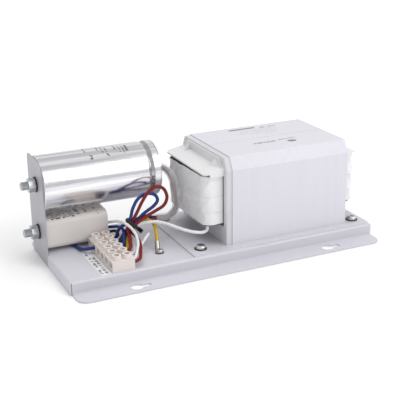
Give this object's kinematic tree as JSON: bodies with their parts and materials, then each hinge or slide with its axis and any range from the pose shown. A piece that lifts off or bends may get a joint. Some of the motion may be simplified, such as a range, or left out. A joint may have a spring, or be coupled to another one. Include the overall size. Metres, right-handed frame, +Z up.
{
  "type": "discharge lamp control gear tray",
  "caption": "White steel gear tray for a discharge grow lamp carrying a boxed ballast, capacitor can, ignitor, terminal strip and tied wiring.",
  "frame": {"origin": "on the floor, under the middle of the overall bounding box, which runs from the capacitor stud's tip to the far end of the tray", "axes": "+X along the tray from the capacitor bracket to the ballast, +Y towards the side with the bracket, +Z up"},
  "size_m": [0.335, 0.162, 0.1038],
  "materials": {
    "white_paint": "satin",
    "lamination_steel": "matte",
    "copper_winding": "satin",
    "winding_tape": "matte",
    "white_plastic": "satin",
    "zinc_steel": "satin",
    "dark_steel": "satin",
    "bright_aluminium": "polished",
    "grey_plastic": "matte",
    "film_roll": "satin",
    "cream_plastic": "satin",
    "potting_resin": "matte",
    "pink_beige_plastic": "matte",
    "nickel_brass": "satin",
    "label_paper": "matte",
    "black_plastic": "satin",
    "red_insulation": "gloss",
    "blue_insulation": "gloss",
    "white_insulation": "gloss",
    "yellow_insulation": "gloss",
    "brown_insulation": "gloss",
    "pale_sleeve": "gloss"
  },
  "bodies": {
    "gear_tray": {"ballast_coil": "copper_winding", "ballast_core": "lamination_steel", "ballast_cover_back": "white_paint", "ballast_cover_front": "white_paint", "ballast_lead": "white_insulation", "ballast_plate": "white_paint", "block_screws": "zinc_steel", "blue_loop_wire": "blue_insulation", "cable_tie": "black_plastic", "capacitor_bracket": "white_paint", "capacitor_can": "bright_aluminium", "capacitor_lead_a": "blue_insulation", "capacitor_lead_b": "red_insulation", "capacitor_lid": "grey_plastic", "capacitor_nut": "zinc_steel", "capacitor_roll": "film_roll", "capacitor_stud": "zinc_steel", "capacitor_washer": "dark_steel", "coil_tape_left": "winding_tape", "coil_tape_right": "winding_tape", "earth_lug": "nickel_brass", "earth_nut": "zinc_steel", "earth_screw": "zinc_steel", "earth_washer": "dark_steel", "earth_wire": "yellow_insulation", "end_insulator_left": "white_plastic", "end_insulator_right": "white_plastic", "ignitor_case": "cream_plastic", "ignitor_lead_blue": "blue_insulation", "ignitor_lead_brown": "brown_insulation", "ignitor_lead_white": "white_insulation", "ignitor_nut": "zinc_steel", "ignitor_potting": "potting_resin", "ignitor_stud": "zinc_steel", "ignitor_washer": "dark_steel", "lead_sleeve": "pale_sleeve", "plate_nuts": "zinc_steel", "plate_screws": "zinc_steel", "plate_washers": "dark_steel", "red_loop_wire": "red_insulation", "spare_lead": "white_insulation", "supply_wire": "blue_insulation", "terminal_block": "pink_beige_plastic", "terminal_tubes": "nickel_brass", "tray": "white_paint", "tray_label": "label_paper"},
    "clamp_1": {"clamp_screw_1": "zinc_steel"},
    "clamp_2": {"clamp_screw_2": "zinc_steel"},
    "clamp_3": {"clamp_screw_3": "zinc_steel"},
    "clamp_4": {"clamp_screw_4": "zinc_steel"},
    "clamp_5": {"clamp_screw_5": "zinc_steel"},
    "clamp_6": {"clamp_screw_6": "zinc_steel"},
    "clamp_7": {"clamp_screw_7": "zinc_steel"},
    "clamp_8": {"clamp_screw_8": "zinc_steel"},
    "clamp_9": {"clamp_screw_9": "zinc_steel"},
    "clamp_10": {"clamp_screw_10": "zinc_steel"},
    "clamp_11": {"clamp_screw_11": "zinc_steel"},
    "clamp_12": {"clamp_screw_12": "zinc_steel"}
  },
  "joints": [
    {"name": "clamp_1_travel", "type": "slide", "parent": "gear_tray", "child": "clamp_1", "axis": [0, 0, 1], "range_m": [0, 0.0024]},
    {"name": "clamp_2_travel", "type": "slide", "parent": "gear_tray", "child": "clamp_2", "axis": [0, 0, 1], "range_m": [0, 0.0024]},
    {"name": "clamp_3_travel", "type": "slide", "parent": "gear_tray", "child": "clamp_3", "axis": [0, 0, 1], "range_m": [0, 0.0024]},
    {"name": "clamp_4_travel", "type": "slide", "parent": "gear_tray", "child": "clamp_4", "axis": [0, 0, 1], "range_m": [0, 0.0024]},
    {"name": "clamp_5_travel", "type": "slide", "parent": "gear_tray", "child": "clamp_5", "axis": [0, 0, 1], "range_m": [0, 0.0024]},
    {"name": "clamp_6_travel", "type": "slide", "parent": "gear_tray", "child": "clamp_6", "axis": [0, 0, 1], "range_m": [0, 0.0024]},
    {"name": "clamp_7_travel", "type": "slide", "parent": "gear_tray", "child": "clamp_7", "axis": [0, 0, 1], "range_m": [0, 0.0024]},
    {"name": "clamp_8_travel", "type": "slide", "parent": "gear_tray", "child": "clamp_8", "axis": [0, 0, 1], "range_m": [0, 0.0024]},
    {"name": "clamp_9_travel", "type": "slide", "parent": "gear_tray", "child": "clamp_9", "axis": [0, 0, 1], "range_m": [0, 0.0024]},
    {"name": "clamp_10_travel", "type": "slide", "parent": "gear_tray", "child": "clamp_10", "axis": [0, 0, 1], "range_m": [0, 0.0024]},
    {"name": "clamp_11_travel", "type": "slide", "parent": "gear_tray", "child": "clamp_11", "axis": [0, 0, 1], "range_m": [0, 0.0024]},
    {"name": "clamp_12_travel", "type": "slide", "parent": "gear_tray", "child": "clamp_12", "axis": [0, 0, 1], "range_m": [0, 0.0024]}
  ]
}
